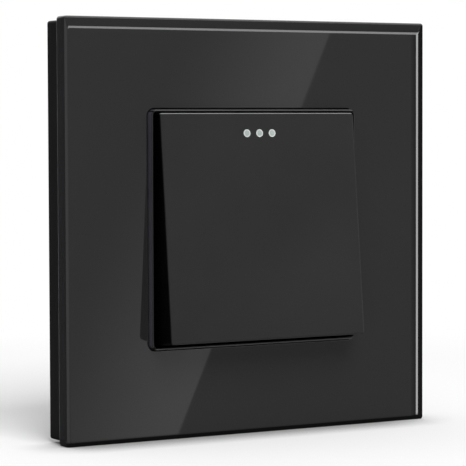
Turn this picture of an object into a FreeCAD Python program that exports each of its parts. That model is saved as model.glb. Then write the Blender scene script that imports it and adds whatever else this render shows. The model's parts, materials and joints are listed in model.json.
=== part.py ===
import FreeCAD, Part
import math
import os

# Rocker light switch with a square glass front, for a square wall box.
# Millimetres. X to the right, Y into the wall, Z up. The origin is midway between the two box
# screw slots, on the wall plane, and the front of the switch looks along -Y.

# Glass front
PANEL = 86.0                # side of the square glass
PANEL_CORNER_R = 0.6        # its corners, seen from the front
GLASS_T = 4.0               # glass thickness
BEVEL_TOP_W = 2.1           # width of the shallow bevel along the front's upper edge
BEVEL_SIDE_W = 1.6
BEVEL_BOTTOM_W = 0.8
BEVEL_DROP = 0.35           # how far the bevel falls back at the edge
BEVEL_CORNER_R = 0.3        # inner corners of the bevel
GLASS_ARRIS_R = 0.2         # rounding of the outer edge
GLASS_HOLE_CLEAR = 0.25     # glass to collar, each side

# Plastic frame behind the glass, and the foam tape between them
FRAME_INSET = 0.7           # frame edge inside the glass edge
FRAME_CORNER_R = 0.6
FRAME_INNER_R = 1.3         # corners inside the frame's wall
FRAME_WALL = 1.8
FRAME_WEB = 1.6             # front web, which the glass is taped to
FRAME_EDGE_R = 0.4
FRAME_HOLE_CLEAR = 0.45     # frame web to collar, each side
TAPE_T = 0.3
TAPE_SETBACK = 1.0          # tape edge inside the frame edge
TAPE_W = 9.0                # width of the tape's four sides

# Steel mounting plate
PLATE_T = 1.2
PLATE_GAP = 2.5             # plate edge to the frame's wall
PLATE_CORNER_R = 4.0
PLATE_HOLE_R = 2.0
PLATE_LAP = 4.0             # how far the plate covers each side of the housing
BOX_PITCH = 60.3            # distance between the two box screws
BOX_SLOT_W = 4.2
BOX_SLOT_L = 6.6

# Snap hooks of the frame, through windows in the mounting plate
HOOK_X = 20.0
HOOK_FROM_EDGE = 4.6        # plate edge to the middle of the hook's arm
HOOK_W = 6.0
HOOK_T = 1.2
HOOK_REACH = 1.5            # how far the hook stands behind the plate
HOOK_BARB = 0.7
HOOK_BARB_GAP = 0.05        # barb to the plate's back
WINDOW_CLEAR = 0.5

# Collar round the rocker
COLLAR = 48.8               # outer side
COLLAR_CORNER_R = 1.2
COLLAR_PROUD = 1.3          # how far it stands out of the glass
COLLAR_WALL = 0.5
COLLAR_RIM_R = 0.2          # rounding of the rim's outer edge
COLLAR_RIM_CHAMFER = 0.15   # chamfer of the rim's inner edge
COLLAR_FLANGE_W = 1.65      # flange outside the collar's wall
COLLAR_FLANGE_T = 1.6
COLLAR_LEDGE_W = 2.65       # ledge inside the collar's wall
COLLAR_TO_WEB = 0.8         # flange to the frame's web
COLLAR_BOSS_R = 2.2
COLLAR_BOSS_TO_WEB = 0.2
COLLAR_BOSS_SKIN = 0.3      # boss left in front of the screw's tip
COLLAR_SCREW_OUT = 1.15     # screw centres outside the collar's sides

# Rocker cap
ROCKER_SIDE_GAP = 0.7       # rocker to collar, left and right
ROCKER_END_GAP = 0.45       # rocker to collar, above and below
ROCKER_CORNER_R = 0.8
ROCKER_EDGE_R = 0.35
ROCKER_SHELL = 1.5          # face thickness
ROCKER_WALL = 1.4           # skirt thickness
ROCKER_SKIRT = 7.6          # face to the skirt's back edge
ROCKER_RIB_FROM_SIDE = 4.15
ROCKER_RIB_W = 1.0
ROCKER_RIB_D = 1.2
ROCKER_TILT = 5.5           # face angle at each end of its travel
PIVOT_DEPTH = 1.4           # rocker's axis behind the collar's rim

# Three-dot indicator
DOT_R = 0.8
DOT_PITCH = 3.0
DOT_FROM_EDGE = 4.3         # rocker's upper edge to the dots' centres
DOT_CLEAR = 0.03
DOT_RECESS = 0.05           # dot ends under the rocker's face
INDICATOR_W = 10.0
INDICATOR_H = 2.8
INDICATOR_T = 1.0

# Bearing ears on the mechanism's cover, and the carrier's trunnions in them
TRUNNION_R = 1.25
TRUNNION_CLEAR = 0.05       # trunnion to its bearing, each side
EAR_RING = 1.1              # ear round the bearing hole
EAR_FROM = 14.0             # inner face of each ear, from the middle
EAR_T = 2.4
EAR_BASE_HALF = 4.0
EAR_GAP = 0.9               # ear to the inside of the rocker's face
BARREL_SIDE_CLEAR = 0.25    # carrier's barrel to each ear

# Carrier under the cap, with its plunger tube
CARRIER_T = 1.5
CARRIER_SIDE_GAP = 1.1      # carrier's plate to each ear
CARRIER_H = 24.0
TUBE_WALL = 1.17
TUBE_BORE_FROM = 0.8        # bottom of the bore, measured from the axis
TUBE_TO = 12.0              # mouth of the bore, measured from the axis
CAP_HOOK_X = 9.0
CAP_HOOK_W = 5.0
CAP_HOOK_T = 1.2
CAP_HOOK_BARB = 0.7
CAP_HOOK_GAP = 0.1

# Plunger and its spring
PLUNGER_R = 1.98
PLUNGER_CLEAR = 0.05        # plunger to the tube's bore, each side
PLUNGER_FROM = 7.0          # plunger's back end, measured from the axis
PLUNGER_SPIGOT_L = 1.0
PLUNGER_REST_GAP = 0.35     # ball end to the lever where the rocker rests
SPRING_WIRE_R = 0.2
SPRING_TURNS = 5
SPRING_SIDE_GAP = 0.33      # spring to the tube's bore
SPRING_SPIGOT_GAP = 0.3     # spring to the plunger's spigot
SPRING_END_GAP = 0.05

# Cover of the mechanism
COVER_T = 2.4
COVER_CLEAR = 0.2           # cover to the housing's walls, each side
TUBE_SIDE_CLEAR = 0.5       # plunger tube to the sides of its slot
TUBE_STOP_GAP = 0.1         # plunger tube to the end of its slot, where the rocker stops

# Mechanism housing
HOUSING = 44.0
HOUSING_CORNER_R = 1.5
HOUSING_BACK_R = 0.8
HOUSING_WALL = 1.6
HOUSING_DEPTH = 16.0
HOUSING_FLOOR = 2.0
RIB_T = 0.9
LEVER_RIB_X = 7.0           # inner face of the ribs beside the lever
STRIP_GAP = 0.2             # rib to the strip that passes under it
LUG_SCREW_OUT = 2.6         # lug screws outside the housing's sides
LUG_SCREW_Z = 16.0
LUG_R = 2.8
LUG_T = 3.0
HOUSING_SCREW_R = 1.45
HOUSING_SCREW_HEAD_R = 2.6
HOUSING_SCREW_HEAD_T = 1.6
COLLAR_SCREW_R = 0.95
COLLAR_SCREW_HEAD_R = 1.9
COLLAR_SCREW_HEAD_T = 1.1
THREAD_CLEAR = 0.02         # screw to its thread, each side
SHANK_CLEAR = 0.15          # screw to a plain hole, each side
SCREW_SLOT_W = 0.8
SCREW_SLOT_D = 0.6

# Terminals: a brass strip and a pillar each
STRIP_T = 0.8
STRIP_W = 5.0
PILLAR_W = 7.0
PILLAR_H = 6.8
PILLAR_L = 9.2              # along Y, from the housing's floor
PILLAR_WALL_GAP = 0.4       # pillar to the housing's wall
PILLAR_CLEAR = 0.1          # pillar to the ribs beside it
WIRE_R = 2.0                # wire bore
WIRE_FROM_FOOT = 2.8        # pillar's inner face to the wire bore
WIRE_BLIND = 1.0            # pillar left in front of the bore
WIRE_GUIDE_CLEAR = 0.8      # housing's hole round the bore, wide enough for the insulation
WIRE_FUNNEL = 0.6
COMMON_X = 13.0             # common pillar's place along X
TERMINAL_SCREW_R = 1.7
TERMINAL_HEAD_R = 2.8
TERMINAL_HEAD_T = 1.4
TERMINAL_HEAD_CLEAR = 0.3
TERMINAL_HEAD_DEPTH = 0.1   # head under the housing's outside
TERMINAL_TIP_GAP = 0.1      # screw tip to the wire bore

# Contacts and lever
LEVER_TILT = 5.0            # lever angle at each end of its travel
LEVER_T = 0.8
LEVER_W = 5.0
LEVER_END = 1.6             # lever beyond each contact's centre
LEVER_END_GAP = 1.6         # lever's end to the rib before it
LEVER_PIN_R = 0.6
LEVER_PIN_PROUD = 0.3       # pin outside each bracket ear
LEVER_PIN_CLEAR = 0.05
BRACKET_CLEAR = 0.5         # lever to each bracket ear
BRACKET_T = 1.0
BRACKET_HALF_Z = 2.0
CONTACT_GAP_CLOSED = 0.05
MOVING_HEAD_R = 1.7
MOVING_HEAD_T = 0.4
MOVING_DOME = 0.3
MOVING_SHANK_R = 0.8
MOVING_CLINCH_R = 1.2
MOVING_CLINCH_T = 0.3
FIXED_HEAD_R = 1.9
FIXED_HEAD_T = 0.7
FIXED_SHANK_R = 0.9
TAIL_END = 2.3              # switched strip beyond its contact's centre

# Allowances in the making of the solids
PAST = 1.0                  # how far a cut runs past the face that it opens
LAP = 0.1                   # how far joined pieces reach into each other
SAME = 0.001                # places nearer than this count as one

# Planes along Y that several pieces share
PLATE_FRONT = -PLATE_T
FLANGE_FRONT = PLATE_FRONT - COLLAR_FLANGE_T
WEB_BACK = FLANGE_FRONT - COLLAR_TO_WEB
FRAME_FRONT = WEB_BACK - FRAME_WEB
GLASS_BACK = FRAME_FRONT - TAPE_T
GLASS_FRONT = GLASS_BACK - GLASS_T
COLLAR_FRONT = GLASS_FRONT - COLLAR_PROUD
BOSS_FRONT = WEB_BACK + COLLAR_BOSS_TO_WEB
COLLAR_SCREW_TIP = BOSS_FRONT + COLLAR_BOSS_SKIN
FLOOR_Y = HOUSING_DEPTH - HOUSING_FLOOR
STRIP_FRONT = FLOOR_Y - STRIP_T
FIXED_FACE = STRIP_FRONT - FIXED_HEAD_T
TERMINAL_SCREW_Y = FLOOR_Y - PILLAR_L / 2

# Half sizes and places seen from the front
FRAME_HALF = PANEL / 2 - FRAME_INSET
FRAME_INNER = FRAME_HALF - FRAME_WALL
FRAME_HOLE = COLLAR / 2 + FRAME_HOLE_CLEAR
PLATE_HALF = FRAME_INNER - PLATE_GAP
PLATE_HOLE = HOUSING / 2 - PLATE_LAP
HOOK_Z = PLATE_HALF - HOOK_FROM_EDGE
COLLAR_INNER = COLLAR / 2 - COLLAR_WALL
COLLAR_SCREW_AT = COLLAR / 2 + COLLAR_SCREW_OUT
ROCKER_HALF_X = COLLAR_INNER - ROCKER_SIDE_GAP
ROCKER_HALF_Z = COLLAR_INNER - ROCKER_END_GAP
CAVITY_HALF = HOUSING / 2 - HOUSING_WALL
LUG_SCREW_X = HOUSING / 2 + LUG_SCREW_OUT
PILLAR_TO = CAVITY_HALF - PILLAR_WALL_GAP
PILLAR_FROM = PILLAR_TO - PILLAR_H
WIRE_Z = PILLAR_FROM + WIRE_FROM_FOOT
RIB_Z = PILLAR_FROM - PILLAR_CLEAR - RIB_T
CONTACT_Z = RIB_Z - LEVER_END_GAP - LEVER_END   # contacts above and below the lever's axis
BRACKET_FROM = LEVER_W / 2 + BRACKET_CLEAR
BRACKET_TO = BRACKET_FROM + BRACKET_T

# Rocker, measured from its axis
EAR_R = TRUNNION_R + TRUNNION_CLEAR + EAR_RING
PIVOT_Y = COLLAR_FRONT + PIVOT_DEPTH
SHELL_BACK = PIVOT_Y - EAR_R - EAR_GAP
FACE_Y = SHELL_BACK - ROCKER_SHELL
TUBE_BORE_R = PLUNGER_R + PLUNGER_CLEAR
TUBE_R = TUBE_BORE_R + TUBE_WALL
SPRING_R = TUBE_BORE_R - SPRING_SIDE_GAP - SPRING_WIRE_R
PLUNGER_SPIGOT_R = SPRING_R - SPRING_WIRE_R - SPRING_SPIGOT_GAP


def V(x, y, z):
    return FreeCAD.Vector(x, y, z)


def block(x0, x1, y0, y1, z0, z1):
    return Part.makeBox(x1 - x0, y1 - y0, z1 - z0, V(x0, y0, z0))


def rod_x(y, z, r, x0, x1):
    return Part.makeCylinder(r, x1 - x0, V(x0, y, z), V(1, 0, 0))


def rod_y(x, z, r, y0, y1):
    return Part.makeCylinder(r, y1 - y0, V(x, y0, z), V(0, 1, 0))


def rod_z(x, y, r, z0, z1):
    return Part.makeCylinder(r, z1 - z0, V(x, y, z0), V(0, 0, 1))


def outline(half_x, half_z, r, y):
    """A rounded rectangle round the Y axis, as a wire at y."""
    edges = []
    k = r * (1 - math.sqrt(0.5))
    corners = [(1, 1), (-1, 1), (-1, -1), (1, -1)]
    for i, (sx, sz) in enumerate(corners):
        side = V(sx * half_x, y, sz * (half_z - r))
        middle = V(sx * (half_x - k), y, sz * (half_z - k))
        top = V(sx * (half_x - r), y, sz * half_z)
        ends = (side, top) if sx == sz else (top, side)
        edges.append(Part.Arc(ends[0], middle, ends[1]).toShape())
        nx, nz = corners[(i + 1) % 4]
        if sx == nx:
            far = V(nx * half_x, y, nz * (half_z - r))
        else:
            far = V(nx * (half_x - r), y, nz * half_z)
        edges.append(Part.LineSegment(ends[1], far).toShape())
    return Part.Wire(edges)


def plate(half_x, half_z, r, y0, y1):
    """A rounded rectangular plate round the Y axis, from y0 to y1."""
    return Part.Face(outline(half_x, half_z, r, y0)).extrude(V(0, y1 - y0, 0))


def square(half, r, y0, y1):
    return plate(half, half, r, y0, y1)


def corner_points(at_x, at_z):
    return [(sx * at_x, sz * at_z) for sx in (-1, 1) for sz in (-1, 1)]


def edges_at(shape, y, lowest_half, highest_half):
    """Edges in the plane at y whose middles lie between two squares round the axis."""
    found = []
    for e in shape.Edges:
        b = e.BoundBox
        if b.YMin < y - SAME or b.YMax > y + SAME:
            continue
        m = e.valueAt((e.FirstParameter + e.LastParameter) / 2)
        if lowest_half < max(abs(m.x), abs(m.z)) < highest_half:
            found.append(e)
    return found


def turned(shape, y, degrees):
    """A copy turned about the X direction through (y, z = 0)."""
    copy = shape.copy()
    copy.rotate(V(0, y, 0), V(1, 0, 0), degrees)
    return copy


def mirrored_z(shape):
    return shape.mirror(V(0, 0, 0), V(0, 0, 1))


def slotted_head(x, z, r, y0, y1):
    """A screw head facing +Y with a driver slot."""
    slot = block(x - r, x + r, y1 - SCREW_SLOT_D, y1 + PAST, z - SCREW_SLOT_W / 2, z + SCREW_SLOT_W / 2)
    return rod_y(x, z, r, y0, y1).cut(slot)


def save(name, solids):
    solid_list = [s for one in solids for s in one.Solids]
    shape = solid_list[0] if len(solid_list) == 1 else Part.makeCompound(solid_list)
    shape.exportStep("parts/" + name + ".step")


def glass_panel():
    half = PANEL / 2
    bevel_y = GLASS_FRONT + BEVEL_DROP
    body = square(half, PANEL_CORNER_R, bevel_y, GLASS_BACK)
    low = outline(half, half, PANEL_CORNER_R, bevel_y)
    face_half_z = half - (BEVEL_TOP_W + BEVEL_BOTTOM_W) / 2
    high = outline(half - BEVEL_SIDE_W, face_half_z, BEVEL_CORNER_R, GLASS_FRONT)
    high.translate(V(0, 0, (BEVEL_BOTTOM_W - BEVEL_TOP_W) / 2))
    body = body.fuse(Part.makeLoft([low, high], True, True)).removeSplitter()
    body = body.makeFillet(GLASS_ARRIS_R, edges_at(body, bevel_y, half - BEVEL_BOTTOM_W / 2, half + PAST))
    hole_half = COLLAR / 2 + GLASS_HOLE_CLEAR
    hole = square(hole_half, COLLAR_CORNER_R + GLASS_HOLE_CLEAR, GLASS_FRONT - PAST, GLASS_BACK + PAST)
    return [body.cut(hole)]


def panel_tape():
    half = FRAME_HALF - TAPE_SETBACK
    ring = square(half, FRAME_CORNER_R, GLASS_BACK, FRAME_FRONT)
    inner = half - TAPE_W
    return [ring.cut(square(inner, FRAME_CORNER_R, GLASS_BACK - PAST, FRAME_FRONT + PAST))]


def panel_frame():
    body = square(FRAME_HALF, FRAME_CORNER_R, FRAME_FRONT, 0)
    body = body.makeFillet(FRAME_EDGE_R, edges_at(body, FRAME_FRONT, 0, FRAME_HALF + PAST))
    body = body.cut(square(FRAME_INNER, FRAME_INNER_R, WEB_BACK, PAST))
    body = body.cut(square(FRAME_HOLE, COLLAR_CORNER_R, FRAME_FRONT - PAST, PAST))
    for x, z in corner_points(HOOK_X, HOOK_Z):
        out = 1 if z > 0 else -1
        x0 = x - HOOK_W / 2
        x1 = x + HOOK_W / 2
        arm = block(x0, x1, WEB_BACK - LAP, HOOK_REACH, z - HOOK_T / 2, z + HOOK_T / 2)
        barb_z = sorted((z, z + out * (HOOK_T / 2 + HOOK_BARB)))
        barb = block(x0, x1, HOOK_BARB_GAP, HOOK_REACH, barb_z[0], barb_z[1])
        body = body.fuse(arm).fuse(barb)
    return [body.removeSplitter()]


def slot_hole(x, z, width, length):
    r = width / 2
    half = length / 2 - r
    hole = block(x - half, x + half, PLATE_FRONT - PAST, PAST, z - r, z + r)
    for end in (x - half, x + half):
        hole = hole.fuse(rod_y(end, z, r, PLATE_FRONT - PAST, PAST))
    return hole


def mounting_plate():
    body = square(PLATE_HALF, PLATE_CORNER_R, PLATE_FRONT, 0)
    body = body.cut(square(PLATE_HOLE, PLATE_HOLE_R, PLATE_FRONT - PAST, PAST))
    for side in (-1, 1):
        body = body.cut(slot_hole(side * BOX_PITCH / 2, 0, BOX_SLOT_W, BOX_SLOT_L))
    for x, z in corner_points(LUG_SCREW_X, LUG_SCREW_Z):
        body = body.cut(rod_y(x, z, HOUSING_SCREW_R + THREAD_CLEAR, PLATE_FRONT - PAST, PAST))
    for x, z in corner_points(COLLAR_SCREW_AT, COLLAR_SCREW_AT):
        body = body.cut(rod_y(x, z, COLLAR_SCREW_R + SHANK_CLEAR, PLATE_FRONT - PAST, PAST))
    for x, z in corner_points(HOOK_X, HOOK_Z):
        half_x = HOOK_W / 2 + WINDOW_CLEAR
        inner_half = HOOK_T / 2 + WINDOW_CLEAR + HOOK_BARB
        outer_half = HOOK_T / 2 + WINDOW_CLEAR / 2
        span = (z - inner_half, z + outer_half) if z > 0 else (z - outer_half, z + inner_half)
        body = body.cut(block(x - half_x, x + half_x, PLATE_FRONT - PAST, PAST, span[0], span[1]))
    return [body]


def rocker_collar():
    half = COLLAR / 2
    tube = square(half, COLLAR_CORNER_R, COLLAR_FRONT, PLATE_FRONT)
    tube = tube.makeFillet(COLLAR_RIM_R, edges_at(tube, COLLAR_FRONT, 0, half + PAST))
    body = tube.fuse(square(half + COLLAR_FLANGE_W, COLLAR_CORNER_R, FLANGE_FRONT, PLATE_FRONT))
    for x, z in corner_points(COLLAR_SCREW_AT, COLLAR_SCREW_AT):
        body = body.fuse(rod_y(x, z, COLLAR_BOSS_R, BOSS_FRONT, PLATE_FRONT))
    inner_r = COLLAR_CORNER_R - COLLAR_WALL
    body = body.cut(square(COLLAR_INNER, inner_r, COLLAR_FRONT - PAST, FLANGE_FRONT))
    body = body.cut(square(COLLAR_INNER - COLLAR_LEDGE_W, COLLAR_CORNER_R, FLANGE_FRONT - PAST, PAST))
    rim = edges_at(body, COLLAR_FRONT, COLLAR_INNER - COLLAR_WALL / 2, COLLAR_INNER + SAME)
    body = body.makeChamfer(COLLAR_RIM_CHAMFER, rim)
    for x, z in corner_points(COLLAR_SCREW_AT, COLLAR_SCREW_AT):
        body = body.cut(rod_y(x, z, COLLAR_SCREW_R + THREAD_CLEAR, COLLAR_SCREW_TIP, PAST))
    return [body]


def collar_screws():
    screws = []
    for x, z in corner_points(COLLAR_SCREW_AT, COLLAR_SCREW_AT):
        shank = rod_y(x, z, COLLAR_SCREW_R, COLLAR_SCREW_TIP, LAP)
        screws.append(shank.fuse(slotted_head(x, z, COLLAR_SCREW_HEAD_R, 0, COLLAR_SCREW_HEAD_T)))
    return screws


def dot_places():
    z = ROCKER_HALF_Z - DOT_FROM_EDGE
    return [(i * DOT_PITCH, z) for i in (-1, 0, 1)]


def rocker_cap():
    body = plate(ROCKER_HALF_X, ROCKER_HALF_Z, ROCKER_CORNER_R, FACE_Y, FACE_Y + ROCKER_SKIRT)
    body = body.makeFillet(ROCKER_EDGE_R, edges_at(body, FACE_Y, 0, ROCKER_HALF_Z + PAST))
    inner_x = ROCKER_HALF_X - ROCKER_WALL
    inner_z = ROCKER_HALF_Z - ROCKER_WALL
    body = body.cut(plate(inner_x, inner_z, ROCKER_CORNER_R, SHELL_BACK, FACE_Y + ROCKER_SKIRT + PAST))
    rib_x = ROCKER_HALF_X - ROCKER_RIB_FROM_SIDE
    for x in (-rib_x, rib_x):
        x0 = x - ROCKER_RIB_W / 2
        x1 = x + ROCKER_RIB_W / 2
        rib = block(x0, x1, SHELL_BACK - LAP, SHELL_BACK + ROCKER_RIB_D, -inner_z - LAP, inner_z + LAP)
        body = body.fuse(rib)
    hook_back = SHELL_BACK + CARRIER_T + CAP_HOOK_GAP + CAP_HOOK_BARB
    for x, z in corner_points(CAP_HOOK_X, CARRIER_H / 2 + CAP_HOOK_GAP):
        out = 1 if z > 0 else -1
        arm_z = sorted((z, z + out * CAP_HOOK_T))
        barb_z = sorted((z + out * LAP, z - out * CAP_HOOK_BARB))
        x0 = x - CAP_HOOK_W / 2
        x1 = x + CAP_HOOK_W / 2
        arm = block(x0, x1, SHELL_BACK - LAP, hook_back, arm_z[0], arm_z[1])
        barb = block(x0, x1, hook_back - CAP_HOOK_BARB, hook_back, barb_z[0], barb_z[1])
        body = body.fuse(arm).fuse(barb)
    for x, z in dot_places():
        body = body.cut(rod_y(x, z, DOT_R + DOT_CLEAR, FACE_Y - PAST, SHELL_BACK + PAST))
    return [turned(body.removeSplitter(), PIVOT_Y, -ROCKER_TILT)]


def indicator_insert():
    z = dot_places()[0][1]
    half_x = INDICATOR_W / 2
    half_z = INDICATOR_H / 2
    body = block(-half_x, half_x, SHELL_BACK, SHELL_BACK + INDICATOR_T, z - half_z, z + half_z)
    for x, z in dot_places():
        body = body.fuse(rod_y(x, z, DOT_R, FACE_Y + DOT_RECESS, SHELL_BACK + LAP))
    return [turned(body, PIVOT_Y, -ROCKER_TILT)]


def rocker_carrier():
    half_x = EAR_FROM - CARRIER_SIDE_GAP
    half_z = CARRIER_H / 2
    barrel = EAR_FROM - BARREL_SIDE_CLEAR
    body = block(-half_x, half_x, SHELL_BACK, SHELL_BACK + CARRIER_T, -half_z, half_z)
    body = body.fuse(rod_x(PIVOT_Y, 0, EAR_R, -barrel, barrel))
    pin_end = EAR_FROM + EAR_T
    body = body.fuse(rod_x(PIVOT_Y, 0, TRUNNION_R, -pin_end, pin_end))
    body = body.fuse(rod_y(0, 0, TUBE_R, SHELL_BACK + CARRIER_T / 2, PIVOT_Y + TUBE_TO))
    body = body.cut(rod_y(0, 0, TUBE_BORE_R, PIVOT_Y + TUBE_BORE_FROM, PIVOT_Y + TUBE_TO + PAST))
    return [turned(body.removeSplitter(), PIVOT_Y, -ROCKER_TILT)]


def lever_axis_y():
    """The lever's axis, placed so that the lower dome all but touches its fixed contact at rest."""
    a = math.radians(LEVER_TILT)
    dome_r = dome_radius()
    centre = LEVER_T / 2 + MOVING_HEAD_T + MOVING_DOME - dome_r
    reach = centre * math.cos(a) + CONTACT_Z * math.sin(a) + dome_r
    return FIXED_FACE - CONTACT_GAP_CLOSED - reach


def dome_radius():
    return (MOVING_HEAD_R ** 2 + MOVING_DOME ** 2) / (2 * MOVING_DOME)


def plunger_reach():
    """Rocker axis to the centre of the ball end, with the rocker and the lever at rest."""
    a = math.radians(LEVER_TILT)
    both = math.radians(LEVER_TILT + ROCKER_TILT)
    apart = (lever_axis_y() - PIVOT_Y) * math.cos(a)
    return (apart - LEVER_T / 2 - PLUNGER_R - PLUNGER_REST_GAP) / math.cos(both)


def plunger():
    back = PIVOT_Y + PLUNGER_FROM
    tip = PIVOT_Y + plunger_reach()
    body = rod_y(0, 0, PLUNGER_R, back, tip)
    body = body.fuse(Part.makeSphere(PLUNGER_R, V(0, tip, 0)))
    spigot = rod_y(0, 0, PLUNGER_SPIGOT_R, back - PLUNGER_SPIGOT_L, back + LAP)
    return [turned(body.fuse(spigot).removeSplitter(), PIVOT_Y, -ROCKER_TILT)]


def arc_from(p, q, m):
    """The arc from p to m whose two end tangents meet at q."""
    foot = (p + m) * 0.5
    rise = q - foot
    half_chord = (m - p).Length / 2
    angle = math.atan2(rise.Length, half_chord)
    middle = foot + rise * (half_chord * math.tan(angle / 2) / rise.Length)
    return Part.Arc(p, middle, m).toShape()


def biarc(p, tp, q, tq):
    """Two arcs from p to q with tangents tp and tq at the ends."""
    v = q - p
    t = tp + tq
    k = 2 * (1 - tp.dot(tq))
    d = (-v.dot(t) + math.sqrt(v.dot(t) ** 2 + k * v.dot(v))) / k
    a = p + tp * d
    b = q - tq * d
    m = (a + b) * 0.5
    return [arc_from(p, a, m), arc_from(m, b, q)]


def plunger_spring():
    start = PIVOT_Y + TUBE_BORE_FROM + SPRING_WIRE_R + SPRING_END_GAP
    end = PIVOT_Y + PLUNGER_FROM - SPRING_WIRE_R - SPRING_END_GAP
    pitch = (end - start) / SPRING_TURNS
    print("spring's gap to itself:", round(pitch - 2 * SPRING_WIRE_R, 2), "mm")
    rise = pitch / (2 * math.pi)

    def point(a):
        return V(SPRING_R * math.cos(a), start + rise * a, SPRING_R * math.sin(a))

    def tangent(a):
        t = V(-SPRING_R * math.sin(a), rise, SPRING_R * math.cos(a))
        return t.normalize()

    edges = []
    step = math.pi / 2
    for i in range(4 * SPRING_TURNS):
        a = i * step
        edges += biarc(point(a), tangent(a), point(a + step), tangent(a + step))
    circle = Part.Circle(point(0), tangent(0), SPRING_WIRE_R)
    sweep = Part.BRepOffsetAPI.MakePipeShell(Part.Wire(edges))
    sweep.add(Part.Wire(circle.toShape()))
    sweep.build()
    sweep.makeSolid()
    return [turned(sweep.shape(), PIVOT_Y, -ROCKER_TILT)]


def tube_slot_half_z():
    """Half length of the cover's slot, so that the plunger tube stops at its ends."""
    a = math.radians(ROCKER_TILT)
    return (COVER_T - PIVOT_Y) * math.tan(a) + TUBE_R / math.cos(a) + TUBE_STOP_GAP


def mechanism_cover():
    half = CAVITY_HALF - COVER_CLEAR
    body = square(half, HOUSING_CORNER_R, 0, COVER_T)
    ear = rod_x(PIVOT_Y, 0, EAR_R, EAR_FROM, EAR_FROM + EAR_T)
    foot = [
        V(EAR_FROM, COVER_T / 2, -EAR_BASE_HALF),
        V(EAR_FROM, PIVOT_Y, -EAR_R),
        V(EAR_FROM, PIVOT_Y, EAR_R),
        V(EAR_FROM, COVER_T / 2, EAR_BASE_HALF),
    ]
    ear = ear.fuse(Part.Face(Part.makePolygon(foot + foot[:1])).extrude(V(EAR_T, 0, 0)))
    ear = ear.cut(rod_x(PIVOT_Y, 0, TRUNNION_R + TRUNNION_CLEAR, EAR_FROM - PAST, EAR_FROM + EAR_T + PAST))
    body = body.fuse(ear).fuse(ear.mirror(V(0, 0, 0), V(1, 0, 0)))
    slot_x = TUBE_R + TUBE_SIDE_CLEAR
    slot_z = tube_slot_half_z()
    slot = block(-slot_x, slot_x, -PAST, COVER_T + PAST, -slot_z, slot_z)
    return [body.cut(slot).removeSplitter()]


def terminal_places():
    """Middle of each pillar along X, and the side that it is on: 1 above, -1 below."""
    return [(0.0, 1), (0.0, -1), (COMMON_X, 1)]


def pillar_rib(x, side):
    span = sorted((side * RIB_Z, side * (CAVITY_HALF + LAP)))
    half = PILLAR_W / 2 + PILLAR_CLEAR
    ribs = []
    for x0 in (x - half - RIB_T, x + half):
        ribs.append(block(x0, x0 + RIB_T, COVER_T, FLOOR_Y + LAP, span[0], span[1]))
    return ribs


def mechanism_housing():
    half = HOUSING / 2
    body = square(half, HOUSING_CORNER_R, 0, HOUSING_DEPTH)
    body = body.makeFillet(HOUSING_BACK_R, edges_at(body, HOUSING_DEPTH, 0, half + PAST))
    body = body.cut(square(CAVITY_HALF, HOUSING_CORNER_R, -PAST, FLOOR_Y))
    rib_top = STRIP_FRONT - STRIP_GAP
    cross = block(-CAVITY_HALF - LAP, CAVITY_HALF + LAP, COVER_T, rib_top, RIB_Z, RIB_Z + RIB_T)
    body = body.fuse(cross).fuse(mirrored_z(cross))
    for x0 in (-LEVER_RIB_X - RIB_T, LEVER_RIB_X):
        body = body.fuse(block(x0, x0 + RIB_T, COVER_T, rib_top, -RIB_Z - LAP, RIB_Z + LAP))
    for x, side in terminal_places():
        for rib in pillar_rib(x, side):
            body = body.fuse(rib)
    for x, z in corner_points(LUG_SCREW_X, LUG_SCREW_Z):
        span = sorted((x, math.copysign(half - HOUSING_WALL / 2, x)))
        body = body.fuse(rod_y(x, z, LUG_R, 0, LUG_T))
        body = body.fuse(block(span[0], span[1], 0, LUG_T, z - LUG_R, z + LUG_R))
    body = body.cut(square(CAVITY_HALF, HOUSING_CORNER_R, -PAST, COVER_T))
    for x, z in corner_points(LUG_SCREW_X, LUG_SCREW_Z):
        body = body.cut(rod_y(x, z, HOUSING_SCREW_R + SHANK_CLEAR, -PAST, LUG_T + PAST))
    guide_r = WIRE_R + WIRE_GUIDE_CLEAR
    for x, side in terminal_places():
        z = side * WIRE_Z
        body = body.cut(rod_y(x, z, guide_r, FLOOR_Y - PAST, HOUSING_DEPTH + PAST))
        mouth = V(x, HOUSING_DEPTH - WIRE_FUNNEL, z)
        body = body.cut(Part.makeCone(guide_r, guide_r + WIRE_FUNNEL, WIRE_FUNNEL, mouth, V(0, 1, 0)))
        span = sorted((side * (CAVITY_HALF - PAST), side * (half + PAST)))
        head_r = TERMINAL_HEAD_R + TERMINAL_HEAD_CLEAR
        body = body.cut(rod_z(x, TERMINAL_SCREW_Y, head_r, span[0], span[1]))
    return [body.removeSplitter()]


def housing_screws():
    screws = []
    for x, z in corner_points(LUG_SCREW_X, LUG_SCREW_Z):
        shank = rod_y(x, z, HOUSING_SCREW_R, PLATE_FRONT, LUG_T + LAP)
        head = slotted_head(x, z, HOUSING_SCREW_HEAD_R, LUG_T, LUG_T + HOUSING_SCREW_HEAD_T)
        screws.append(shank.fuse(head).removeSplitter())
    return screws


def contact_tail():
    """The strip from a fixed contact to the foot of its pillar, for the upper side."""
    end = CONTACT_Z - TAIL_END
    strip = block(-STRIP_W / 2, STRIP_W / 2, STRIP_FRONT, FLOOR_Y, end, PILLAR_FROM)
    return strip.cut(rod_y(0, CONTACT_Z, FIXED_SHANK_R, STRIP_FRONT - PAST, FLOOR_Y + PAST))


def switched_terminal_1():
    return [contact_tail()]


def switched_terminal_2():
    return [mirrored_z(contact_tail())]


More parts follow.
